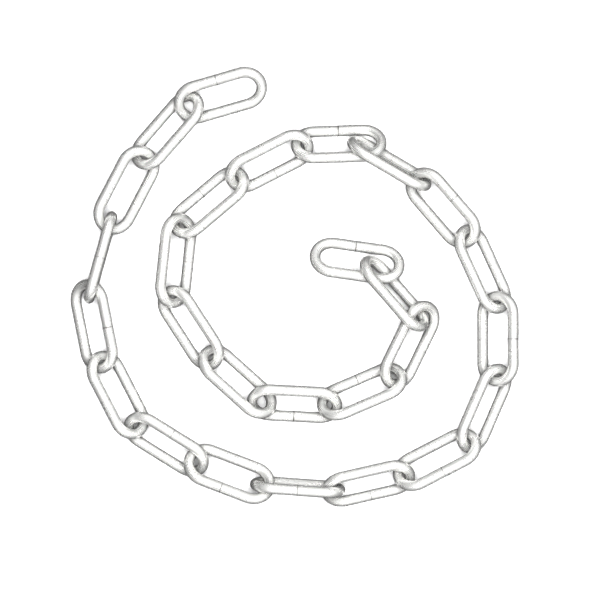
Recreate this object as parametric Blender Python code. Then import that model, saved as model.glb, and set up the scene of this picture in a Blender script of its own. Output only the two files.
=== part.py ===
# A length of welded long-link steel chain, 27 links, lying flat in a loose spiral.
# Metres, +Z up. Seen from above, +X is to the right and +Y is up the page.
import math

import bpy
import numpy as np
from mathutils import Matrix

# Sizes of one link
WIRE = 0.005
LINK_LENGTH = 0.045
LINK_WIDTH = 0.022
CLEARANCE = 0.0005  # left between the wires where two links meet

# Facets of the wire
SECTION_SIDES = 12
BEND_STEPS = 8

# How the chain lies. One row for each link, from the outer end of the spiral to the inner end.
# x and y are its middle in the photo, in pixels. Heading is the way the chain runs there and
# lean is the turn about the link's long axis, in degrees: positive lifts the bar on the left.
PHOTO_MIDDLE = (300, 300)
LINK_LENGTH_PIXELS = 95.6
PIXEL = LINK_LENGTH / LINK_LENGTH_PIXELS
LINKS = (
    (220.5, 95.5, 196, -29),
    (168, 130.5, 229, 46),
    (127, 189.5, 242, -32),
    (100.5, 257.5, 254, 88),
    (94.5, 327, 281, 46),
    (118, 395, 297, -42),
    (166.5, 444, 328, 47),
    (228.5, 473, 339, -38),
    (298, 487, 357, -76),
    (367.5, 483.5, 13, 50),
    (437, 459.5, 27, -41),
    (484.5, 407.5, 68, 52),
    (497.5, 339, 90, -34),
    (483, 270, 114, 50),
    (442, 207, 131, -37),
    (389, 164, 150, 73),
    (339, 144, 182, 45),
    (269.5, 161, 207, -41),
    (209, 203, 220, 45),
    (176, 260.5, 264, -47),
    (191, 328, 303, 45),
    (237.5, 381.5, 318, -46),
    (294.5, 403.5, 357, 45),
    (362, 391.5, 23, -45),
    (409.5, 345, 64, 47),
    (394, 293.5, 131, 65),
    (357, 261, 172, 37),
)
ROOT = 13  # the link that the others swing from, counted from 0

# How the links come to rest
ROUNDS = 300
FREE_ROUNDS = 100  # the last rounds, in which nothing pulls a link any more
SINK = 0.00001
HOLD = 0.2

RADIUS = WIRE / 2
BEND = (LINK_WIDTH - WIRE) / 2  # radius of the wire's centreline round an end
EYE = (LINK_LENGTH - LINK_WIDTH) / 2  # from a link's middle to the centre of that bend


def clear_scene():
    for obj in list(bpy.data.objects):
        bpy.data.objects.remove(obj, do_unlink=True)


# The wire's centreline as a closed loop in the link's own plane: two bends and two straight bars
def centreline(bend_steps, bar_steps):
    turn = np.linspace(-math.pi / 2, math.pi / 2, bend_steps + 1)
    bar = np.linspace(-EYE, EYE, bar_steps + 1)[1:-1]
    along = np.concatenate([EYE + BEND * np.cos(turn), -bar, -EYE - BEND * np.cos(turn), bar])
    side = BEND + 0 * bar
    across = np.concatenate([BEND * np.sin(turn), side, -BEND * np.sin(turn), -side])
    return np.stack([along, across, 0 * along], axis=1)


LOOP = centreline(40, 26)
FRONT = LOOP[LOOP[:, 0] > EYE - 2 * WIRE]
BACK = LOOP[LOOP[:, 0] < 2 * WIRE - EYE]
INERTIA = np.array([(LOOP[:, 1] ** 2).mean(), (LOOP[:, 0] ** 2).mean(), (LOOP**2).sum(1).mean()])


# Rotation matrices for turns given as vectors: the axis times the angle
def turn_matrices(turns):
    angle = np.linalg.norm(turns, axis=1) + 1e-12
    x, y, z = (turns / angle[:, None]).T
    cross = np.zeros((len(turns), 3, 3))
    cross[:, 0, 1], cross[:, 0, 2], cross[:, 1, 2] = -z, y, -x
    cross[:, 1, 0], cross[:, 2, 0], cross[:, 2, 1] = z, -y, x
    sine = np.sin(angle)[:, None, None]
    rest = (1 - np.cos(angle))[:, None, None]
    return np.eye(3) + sine * cross + rest * cross @ cross


# Middles and rotations of the links as the photo shows them, each with its lower bar on the floor
def links_in_photo():
    x, y, heading, lean = np.array(LINKS, float).T
    heading, lean = np.radians(heading), np.radians(lean)
    height = RADIUS + BEND * np.abs(np.sin(lean))
    middles = np.stack([(x - PHOTO_MIDDLE[0]) * PIXEL, (PHOTO_MIDDLE[1] - y) * PIXEL, height], axis=1)
    upright = np.outer(heading, (0, 0, 1))
    along = np.outer(lean, (1, 0, 0))
    return middles, turn_matrices(upright) @ turn_matrices(along)


def placed(points, middles, rotations):
    return points @ np.swapaxes(rotations, 1, 2) + middles[:, None]


# What a push along one direction does to links of unit mass: how far each turns, and how easily
def response(arm, direction, rotations):
    twist = np.cross(arm, direction)
    own = np.einsum("nji,nj->ni", rotations, twist) / INERTIA
    turn = np.einsum("nij,nj->ni", rotations, own)
    return turn, 1 + (twist * turn).sum(1)


# Moves each pair of neighbours apart at their nearest points, until the wires are clear
def part_neighbours(middles, rotations, first):
    second = first + 1
    front = placed(FRONT, middles[first], rotations[first])
    back = placed(BACK, middles[second], rotations[second])
    apart = np.linalg.norm(front[:, :, None] - back[:, None], axis=3).reshape(len(first), -1)
    near = apart.argmin(1)
    pair = np.arange(len(first))
    on_first = front[pair, near // len(BACK)]
    on_second = back[pair, near % len(BACK)]
    distance = apart[pair, near]
    direction = (on_second - on_first) / distance[:, None]
    turn_a, ease_a = response(on_first - middles[first], direction, rotations[first])
    turn_b, ease_b = response(on_second - middles[second], direction, rotations[second])
    push = (np.maximum(0, WIRE + CLEARANCE - distance) / (ease_a + ease_b))[:, None]
    middles[first] -= push * direction
    middles[second] += push * direction
    rotations[first] = turn_matrices(-push * turn_a) @ rotations[first]
    rotations[second] = turn_matrices(push * turn_b) @ rotations[second]


# Lifts each link at its lowest point, until it lies on the floor and not in it
def lift_off_floor(middles, rotations):
    wire = placed(LOOP, middles, rotations)
    low = wire[np.arange(len(middles)), wire[:, :, 2].argmin(1)]
    up = np.tile((0.0, 0.0, 1.0), (len(middles), 1))
    turn, ease = response(low - middles, up, rotations)
    push = (np.maximum(0, RADIUS - low[:, 2]) / ease)[:, None]
    middles += push * up
    rotations[:] = turn_matrices(push * turn) @ rotations


# Lets the links sink and push each other clear, while a weak hold keeps them as in the photo
def links_at_rest():
    middles, rotations = links_in_photo()
    middles_seen, rotations_seen = middles.copy(), rotations.copy()
    links = np.arange(len(middles) - 1)
    for step in range(ROUNDS):
        share = max(0.0, 1 - step / (ROUNDS - FREE_ROUNDS))
        middles[:, 2] -= SINK * share
        middles[:, :2] += HOLD * share * (middles_seen - middles)[:, :2]
        error = np.cross(rotations, rotations_seen, axis=1).sum(2) / 2
        rotations = turn_matrices(HOLD * share * error) @ rotations
        for _ in range(2):
            part_neighbours(middles, rotations, links[0::2])
            part_neighbours(middles, rotations, links[1::2])
        lift_off_floor(middles, rotations)
    return middles, rotations


# The upright axis on which a link swings: midway between the two bends that hook into each other
def swing_point(middles, rotations, link):
    if link == ROOT:
        return middles[ROOT]
    first = link if link < ROOT else link - 1
    front = middles[first] + rotations[first] @ (EYE, 0, 0)
    back = middles[first + 1] - rotations[first + 1] @ (EYE, 0, 0)
    return (front + back) / 2


# Wire swept round the loop. The flats of its section are the wire's radius from the centreline,
# and the section is turned by the lean, so that one flat of the lower bar faces straight down.
def link_mesh(name, lean, shift):
    loop = centreline(BEND_STEPS, 1)
    ahead = np.roll(loop, -1, axis=0) - loop
    behind = loop - np.roll(loop, 1, axis=0)
    ahead /= np.linalg.norm(ahead, axis=1)[:, None]
    behind /= np.linalg.norm(behind, axis=1)[:, None]
    tangent = ahead + behind
    tangent /= np.linalg.norm(tangent, axis=1)[:, None]
    outward = np.cross(tangent, (0, 0, 1))
    angle = (np.arange(SECTION_SIDES) + 0.5) * 2 * math.pi / SECTION_SIDES + abs(lean)
    corner = RADIUS / math.cos(math.pi / SECTION_SIDES)
    points = (
        loop[:, None]
        + corner * np.cos(angle)[None, :, None] * outward[:, None]
        + corner * np.sin(angle)[None, :, None] * np.array((0, 0, 1.0))
    )
    rings, sides = len(loop), SECTION_SIDES
    ring, side = np.divmod(np.arange(rings * sides), sides)
    next_ring = (ring + 1) % rings * sides
    next_side = (side + 1) % sides
    faces = np.stack(
        [ring * sides + side, next_ring + side, next_ring + next_side, ring * sides + next_side], axis=1
    )
    mesh = bpy.data.meshes.new(name)
    mesh.from_pydata((points.reshape(-1, 3) + shift).tolist(), [], faces.tolist())
    mesh.validate()
    mesh.shade_smooth()
    return mesh


def zinc_plated_steel():
    material = bpy.data.materials.new("zinc plated steel")
    material.use_nodes = True
    shader = material.node_tree.nodes["Principled BSDF"]
    shader.inputs["Base Color"].default_value = (0.80, 0.80, 0.79, 1)
    shader.inputs["Metallic"].default_value = 1
    shader.inputs["Roughness"].default_value = 0.38
    return material


def add_link(index, middles, rotations, material, parent):
    rotation = rotations[index]
    lean = math.atan2(rotation[2, 1], rotation[2, 2])
    origin = swing_point(middles, rotations, index)
    name = f"link_{index + 1:02d}"
    mesh = link_mesh(name, lean, rotation.T @ (middles[index] - origin))
    mesh.materials.append(material)
    obj = bpy.data.objects.new(name, mesh)
    bpy.context.scene.collection.objects.link(obj)
    obj.parent = parent
    obj.location = origin
    obj.rotation_euler = Matrix(rotation).to_euler()
    return obj


# Moves the whole chain so that the middle of its box is over the origin and it stands on z = 0
def put_on_origin(parent, links):
    bpy.context.view_layer.update()
    corners = []
    for obj in links:
        points = np.array([tuple(v.co) for v in obj.data.vertices])
        matrix = np.array(obj.matrix_world)
        corners.append(points @ matrix[:3, :3].T + matrix[:3, 3])
    points = np.concatenate(corners)
    low, high = points.min(0), points.max(0)
    middle = (low + high) / 2
    parent.location = (-middle[0], -middle[1], -low[2])


def main():
    clear_scene()
    middles, rotations = links_at_rest()
    parent = bpy.data.objects.new("chain", None)
    bpy.context.scene.collection.objects.link(parent)
    material = zinc_plated_steel()
    links = [add_link(i, middles, rotations, material, parent) for i in range(len(LINKS))]
    put_on_origin(parent, links)
    bpy.context.view_layer.update()


main()
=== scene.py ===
# A length of welded long-link steel chain, laid flat in a loose spiral and seen from straight above.
import math

import bpy
import numpy as np
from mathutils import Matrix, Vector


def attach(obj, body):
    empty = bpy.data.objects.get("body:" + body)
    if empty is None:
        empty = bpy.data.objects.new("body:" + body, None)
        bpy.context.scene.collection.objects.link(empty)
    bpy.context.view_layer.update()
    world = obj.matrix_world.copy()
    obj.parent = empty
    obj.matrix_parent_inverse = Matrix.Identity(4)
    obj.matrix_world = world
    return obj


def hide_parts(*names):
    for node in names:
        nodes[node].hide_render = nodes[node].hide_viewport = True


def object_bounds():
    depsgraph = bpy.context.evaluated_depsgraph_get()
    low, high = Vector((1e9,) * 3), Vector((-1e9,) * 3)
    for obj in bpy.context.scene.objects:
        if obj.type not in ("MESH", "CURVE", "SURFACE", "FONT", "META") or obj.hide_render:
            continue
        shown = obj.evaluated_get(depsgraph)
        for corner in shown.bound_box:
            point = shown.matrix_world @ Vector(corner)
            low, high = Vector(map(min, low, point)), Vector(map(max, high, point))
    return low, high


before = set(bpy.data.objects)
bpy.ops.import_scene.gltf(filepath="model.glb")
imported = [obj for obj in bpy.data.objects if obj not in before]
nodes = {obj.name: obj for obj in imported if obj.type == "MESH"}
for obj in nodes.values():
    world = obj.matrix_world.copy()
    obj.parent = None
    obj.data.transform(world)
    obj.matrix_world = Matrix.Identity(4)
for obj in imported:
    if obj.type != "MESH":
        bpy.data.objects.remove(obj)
cadLow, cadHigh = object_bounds()

view = {
    "middle": (0.002632, -0.006165),  # the point under the middle of the photograph
    "span": 0.28243,  # metres across the picture
    "distance": 4.0,
    "sensor": 36.0,
    "near": 0.1,
    "far": 20,
}
camera = bpy.data.objects.new("cameraAbove", bpy.data.cameras.new("cameraAbove"))
camera.location = (*view["middle"], view["distance"])
camera.data.sensor_width = view["sensor"]
camera.data.lens = view["sensor"] * view["distance"] / view["span"]
camera.data.clip_start = view["near"]
camera.data.clip_end = view["far"]
bpy.context.scene.collection.objects.link(camera)
bpy.context.scene.camera = camera
print("camera is above the chain")


# A closed ring of wire or an open sheet from a grid of points: each face joins four neighbours
def gridMesh(name, points, closed):
    rows, columns = points.shape[:2]
    row, column = np.meshgrid(np.arange(rows - 1 + closed), np.arange(columns - 1 + closed), indexing="ij")
    nextRow = (row + 1) % rows
    nextColumn = (column + 1) % columns
    corners = [row * columns + column, nextRow * columns + column]
    corners += [nextRow * columns + nextColumn, row * columns + nextColumn]
    faces = np.stack(corners, axis=-1).reshape(-1, 4)
    mesh = bpy.data.meshes.new(name)
    mesh.vertices.add(rows * columns)
    mesh.vertices.foreach_set("co", points.reshape(-1))
    mesh.loops.add(faces.size)
    mesh.loops.foreach_set("vertex_index", faces.reshape(-1))
    mesh.polygons.add(len(faces))
    mesh.polygons.foreach_set("loop_start", np.arange(0, faces.size, 4))
    mesh.update(calc_edges=True)
    mesh.shade_smooth()
    return mesh


def showMesh(name, mesh, material):
    piece = bpy.data.objects.new(name, mesh)
    mesh.materials.append(material)
    bpy.context.scene.collection.objects.link(piece)
    return piece


# One node of a material or of the sky, with its plain values set and its inputs joined
def addNode(tree, kind, values=(), joins=(), **settings):
    node = tree.nodes.new(kind)
    for key, value in settings.items():
        setattr(node, key, value)
    for socket, value in dict(values).items():
        node.inputs[socket].default_value = value
    for socket, source in dict(joins).items():
        tree.links.new(source, node.inputs[socket])
    return node


link = {
    "wire": 0.005,
    "length": 0.045,
    "width": 0.022,
    "sides": 36,
    "ringsAway": 80,  # rings on each side of the weld, outside the weld's own
    "ringsAtWeld": 41,
    "weldReach": 0.0016,
    "bendThinning": 0.04,  # the wire flattens a little round the bends
    "waver": 0.00002,  # unevenness of the drawn wire
    "waverWaves": (6, (2, 9), (0, 4)),  # how many, and how often each goes along and around
    "flash": 0.00016,  # ridge pushed out where the ends were welded
    "flashReach": 0.00050,
    "ragged": 0.3,  # share of the ridge that comes and goes
    "raggedWaves": (5, (1, 4), (1, 6)),
    "groove": 0.00010,
    "grooveReach": 0.00012,
    "shade": 0.8,  # how dark the scale in the seam is
    "shadeReach": 0.00020,
    "shadePatches": 0.25,  # share of that dark that comes and goes round the wire
    "step": 0.00008,  # the two ends don't quite meet in line
    "stepReach": 0.0040,
    "plainest": 9,  # the mark of the plainest weld
    "faintest": 0.4,  # ridge and groove that even the faintest weld has
}
# Which bar has the weld, h the high one and l the low one, and how plain the weld is, 1 to 9
weldBars = "hhlhhhhhhlhlhlhllllllllllll"
weldMarks = "632373475453724284633295227"
weldShifts = {4: 0.0017, 7: -0.0014, 26: -0.0014}  # welds that are off the middle of their bar

bend = (link["width"] - link["wire"]) / 2
eye = (link["length"] - link["width"]) / 2
around = 4 * eye + 2 * math.pi * bend


# The middle line of the wire. At the distance s from the weld, the wire has turned by the angle
# of both bends that it has come through. Its place is the straight way that it has gone, there
# and back, plus the bend's radius times the sine along and the cosine across.
def middleLine(s):
    s = s % around
    arc = math.pi * bend
    turn = np.clip((s - eye) / bend, 0, math.pi) + np.clip((s - 3 * eye - arc) / bend, 0, math.pi)
    straight = np.clip(s, 0, eye) - np.clip(s - eye - arc, 0, 2 * eye)
    straight += np.clip(s - 3 * eye - 2 * arc, 0, eye)
    return straight + bend * np.sin(turn), bend * np.cos(turn), turn


# Slow unevenness that closes on itself: a sum of waves with whole numbers of turns both ways
def unevenness(s, angle, seed, waves):
    draw = np.random.default_rng(seed)
    total = np.zeros(np.broadcast(s, angle).shape)
    count, lengths, turns = waves
    for _ in range(count):
        wavesAlong = draw.integers(*lengths)
        wavesAround = draw.integers(*turns)
        total += np.sin(2 * math.pi * wavesAlong * s / around + wavesAround * angle + draw.uniform(0, 7))
    return total / math.sqrt(count)


# A ring of the wire's section is carried along the middle line. The radius is half the wire, less
# a little round the bends, less waves, plus a bell-shaped ridge and less a narrower bell at the weld.
# The ring is shifted opposite ways on the two sides of the weld, and the shift fades out from there.
def linkSurface(number):
    half = around / 2
    reach = link["weldReach"]
    s = np.concatenate([
        np.linspace(-half, -reach, link["ringsAway"], endpoint=False),
        np.linspace(-reach, reach, link["ringsAtWeld"]),
        np.linspace(reach, half, link["ringsAway"], endpoint=False)[1:],
    ])[:, None]
    angle = np.linspace(0, 2 * math.pi, link["sides"], endpoint=False)[None, :]
    strength = int(weldMarks[number]) / link["plainest"]
    relief = link["faintest"] + strength
    along, across, turn = middleLine(s + weldShifts.get(number, 0))
    bent = np.sin(turn) ** 2
    radius = link["wire"] / 2 * (1 - link["bendThinning"] * bent * np.cos(angle) ** 2)
    radius = radius - link["waver"] * (1 + unevenness(s, angle, number, link["waverWaves"]) / 2)
    ragged = 1 - link["ragged"] + link["ragged"] * unevenness(s, angle, 100 + number, link["raggedWaves"])
    inner = 0.5 - 0.5 * np.cos(angle)  # the ridge is highest on the inside of the link
    flash = link["flash"] * relief * ragged * inner * np.exp(-((s / link["flashReach"]) ** 2))
    groove = link["groove"] * relief * np.exp(-((s / link["grooveReach"]) ** 2))
    radius = radius + flash - groove
    fading = np.exp(-np.abs(s) / link["stepReach"])
    step = link["step"] * strength * np.tanh(s / link["flashReach"]) * fading
    out = radius * np.cos(angle) - np.abs(step)
    up = radius * np.sin(angle) + step
    points = np.stack([along + out * np.sin(turn), across + out * np.cos(turn), up], axis=-1)
    straightWire = np.stack([s + 0 * angle, radius * np.cos(angle), radius * np.sin(angle)], axis=-1)
    patchy = 1 - link["shadePatches"] + link["shadePatches"] * np.cos(2 * angle + number)
    weldShade = link["shade"] * strength * patchy * np.exp(-((s / link["shadeReach"]) ** 2))
    return points, straightWire, weldShade


# Middle and own axes of a link, from its solid. The corners spread most the way the link runs
# and least square to its plane. The second axis points to the higher bar.
def linkFrame(number):
    solid = nodes[f"link_{number + 1:02d}"].data
    corners = np.empty(len(solid.vertices) * 3)
    solid.vertices.foreach_get("co", corners)
    corners = np.unique(corners.reshape(-1, 3).round(7), axis=0)
    middle = corners.mean(0)
    axes = np.linalg.eigh(np.cov((corners - middle).T))[1]
    return middle, axes[:, 2], axes[:, 1] * (1 if axes[2, 1] > 0 else -1)


def setShape(number, name, frames, material):
    middle, along, across = frames[number]
    before = frames[max(number - 1, 0)][0]
    after = frames[min(number + 1, len(frames) - 1)][0]
    if np.dot(along, after - before) < 0:
        along = -along
    if weldBars[number] == "l":
        along, across = -along, -across
    axes = np.stack([along, across, np.cross(along, across)])
    points, straightWire, weldShade = linkSurface(number)
    inside = 0.000001  # no ridge or wave reaches out of the box of the solids
    placed = np.clip(points @ axes + middle, np.array(cadLow) + inside, np.array(cadHigh) - inside)
    mesh = gridMesh(name, placed, True)
    place = mesh.attributes.new("straightWire", "FLOAT_VECTOR", "POINT")
    place.data.foreach_set("vector", straightWire.reshape(-1))
    shade = mesh.attributes.new("weldShade", "FLOAT", "POINT")
    shade.data.foreach_set("value", weldShade.reshape(-1))
    return showMesh(name, mesh, material)


zinc = {
    "bright": (0.95, 0.95, 0.94, 1),
    "dull": (0.86, 0.86, 0.85, 1),
    "scale": (0.10, 0.09, 0.08, 1),  # in the seam of the weld
    "metallic": 0.6,
    "smooth": 0.25,  # roughness where it is bright
    "rough": 0.36,  # and where it is dull
    "drawnLines": (40, 1800, 1800),
    "fineLines": (200, 6000, 6000),
    "fineShare": 0.4,  # height of the fine lines as a share of the drawn ones
    "reliefStrength": 0.35,
    "reliefDepth": 0.00006,
    "bloomScale": 170,
    "bloomDetail": 5,
    "bloomRoughness": 0.6,
    "bloomEdge": (0.16, 0.42),  # between these the metal turns from bright to dull
}


# Bright zinc on drawn wire: long lines follow the wire, dull bloom lies in patches, and the weld
# is darkened by its scale
def brightZincSteel():
    material = bpy.data.materials.new("brightZincSteel")
    material.use_nodes = True
    tree = material.node_tree
    shader = tree.nodes["Principled BSDF"]
    shader.inputs["Metallic"].default_value = zinc["metallic"]
    wire = addNode(tree, "ShaderNodeAttribute", attribute_name="straightWire").outputs["Vector"]
    weld = addNode(tree, "ShaderNodeAttribute", attribute_name="weldShade").outputs["Fac"]
    place = addNode(tree, "ShaderNodeTexCoord").outputs["Object"]
    drawn = {1: zinc["drawnLines"]}
    lines = addNode(tree, "ShaderNodeVectorMath", drawn, {0: wire}, operation="MULTIPLY")
    finer = {1: zinc["fineLines"]}
    fine = addNode(tree, "ShaderNodeVectorMath", finer, {0: wire}, operation="MULTIPLY")
    lineNoise = addNode(tree, "ShaderNodeTexNoise", {"Scale": 1, "Detail": 3}, {"Vector": lines.outputs[0]})
    fineNoise = addNode(tree, "ShaderNodeTexNoise", {"Scale": 1, "Detail": 2}, {"Vector": fine.outputs[0]})
    patches = {"Scale": zinc["bloomScale"], "Detail": zinc["bloomDetail"]}
    patches["Roughness"] = zinc["bloomRoughness"]
    bloom = addNode(tree, "ShaderNodeTexNoise", patches, {"Vector": place})
    factors = {0: lineNoise.outputs["Fac"], 1: bloom.outputs["Fac"]}
    both = addNode(tree, "ShaderNodeMath", {}, factors, operation="MULTIPLY")
    edge = {"From Min": zinc["bloomEdge"][0], "From Max": zinc["bloomEdge"][1]}
    dullness = addNode(tree, "ShaderNodeMapRange", edge, {"Value": both.outputs[0]})
    ends = {6: zinc["bright"], 7: zinc["dull"]}
    metal = addNode(tree, "ShaderNodeMix", ends, {0: dullness.outputs[0]}, data_type="RGBA")
    darkened = {0: weld, 6: metal.outputs[2]}
    colour = addNode(tree, "ShaderNodeMix", {7: zinc["scale"]}, darkened, data_type="RGBA")
    sheen = {"To Min": zinc["smooth"], "To Max": zinc["rough"]}
    roughness = addNode(tree, "ShaderNodeMapRange", sheen, {"Value": dullness.outputs[0]})
    share = {1: zinc["fineShare"]}
    layers = {0: fineNoise.outputs["Fac"], 2: lineNoise.outputs["Fac"]}
    heights = addNode(tree, "ShaderNodeMath", share, layers, operation="MULTIPLY_ADD")
    relief = {"Strength": zinc["reliefStrength"], "Distance": zinc["reliefDepth"]}
    bump = addNode(tree, "ShaderNodeBump", relief, {"Height": heights.outputs[0]})
    tree.links.new(colour.outputs[2], shader.inputs["Base Color"])
    tree.links.new(roughness.outputs[0], shader.inputs["Roughness"])
    tree.links.new(bump.outputs[0], shader.inputs["Normal"])
    return material


zincSteel = brightZincSteel()
frames = [linkFrame(number) for number in range(len(weldBars))]
for number in range(len(weldBars)):
    name = f"weldedLink_{number + 1:02d}"
    piece = setShape(number, name, frames, zincSteel)
    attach(piece, f"link_{number + 1:02d}")
    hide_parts(f"link_{number + 1:02d}")
print("links are bent and welded")

floor = {
    "reach": 3.0,
    "squares": 12,
    "drop": 0.00005,  # keeps the floor just clear of the wire
    "colour": (0.7, 0.7, 0.7, 1),
    "roughness": 0.9,
    "glow": 0.15,  # the photo is over-exposed, so the floor has next to no shadows
    "glowColour": (1, 1, 1, 1),
}


# A square sheet: both places on the grid run evenly from one side to the other
def floorSheet():
    place = np.linspace(-floor["reach"], floor["reach"], floor["squares"] + 1)
    x, y = np.meshgrid(place, place, indexing="xy")
    return gridMesh("paleFloor", np.stack([x, y, 0 * x - floor["drop"]], axis=-1), False)


def palePaper():
    material = bpy.data.materials.new("palePaper")
    material.use_nodes = True
    shader = material.node_tree.nodes["Principled BSDF"]
    shader.inputs["Base Color"].default_value = floor["colour"]
    shader.inputs["Roughness"].default_value = floor["roughness"]
    shader.inputs["Emission Color"].default_value = floor["glowColour"]
    shader.inputs["Emission Strength"].default_value = floor["glow"]
    return material


paleFloor = showMesh("paleFloor", floorSheet(), palePaper())
paleFloor.visible_glossy = False  # so that the wire's edges stay dark

studio = {
    "sky": 0.63,  # brightness from above, which the metal also mirrors
    "under": 0.15,  # and from below
    "edge": (-0.30, 0.60),  # heights between which the dark turns to sky
    "left": (-1.0, 0.1, 0.0),  # the sky is dimmer on this side
    "dimming": (0.0, 1.0),  # how far round to that side the dimming starts and ends
    "dimmest": 0.2,
    "boxSize": 2.4,
    "boxHeight": 3.0,
    "boxPower": 172,
    "contrast": 0.45,  # below 1 it deepens the greys and leaves white as it is
}


# A smooth climb between two values of a direction's part along an axis
def climb(tree, way, axis, ends, values):
    part = addNode(tree, "ShaderNodeVectorMath", {1: axis}, {0: way}, operation="DOT_PRODUCT")
    return addNode(
        tree,
        "ShaderNodeMapRange",
        {"From Min": ends[0], "From Max": ends[1], "To Min": values[0], "To Max": values[1]},
        {"Value": part.outputs["Value"]},
        interpolation_type="SMOOTHSTEP",
    ).outputs[0]


# A sky that is bright above and dark below, with a soft edge near the horizon, and dimmer on the left
def studioSky():
    world = bpy.data.worlds.new("studioSky")
    world.use_nodes = True
    bpy.context.scene.world = world
    tree = world.node_tree
    background = tree.nodes["Background"]
    background.inputs["Color"].default_value = (1, 1, 1, 1)
    way = addNode(tree, "ShaderNodeTexCoord").outputs["Generated"]
    sky = climb(tree, way, (0, 0, 1), studio["edge"], (studio["under"], studio["sky"]))
    dimmed = climb(tree, way, studio["left"], studio["dimming"], (1, studio["dimmest"]))
    strength = addNode(tree, "ShaderNodeMath", {}, {0: sky, 1: dimmed}, operation="MULTIPLY")
    tree.links.new(strength.outputs[0], background.inputs["Strength"])


# A wide soft box overhead. It lights the floor and the matt share of the steel, which doesn't mirror it.
def softBox():
    light = bpy.data.lights.new("softBox", "AREA")
    light.shape = "DISK"
    light.size = studio["boxSize"]
    light.energy = studio["boxPower"]
    lamp = bpy.data.objects.new("softBox", light)
    lamp.location = (0, 0, studio["boxHeight"])
    lamp.visible_glossy = False
    lamp.visible_camera = False
    bpy.context.scene.collection.objects.link(lamp)


studioSky()
softBox()
bpy.context.scene.view_settings.view_transform = "Standard"
bpy.context.scene.view_settings.gamma = studio["contrast"]
print("floor and lights are set")
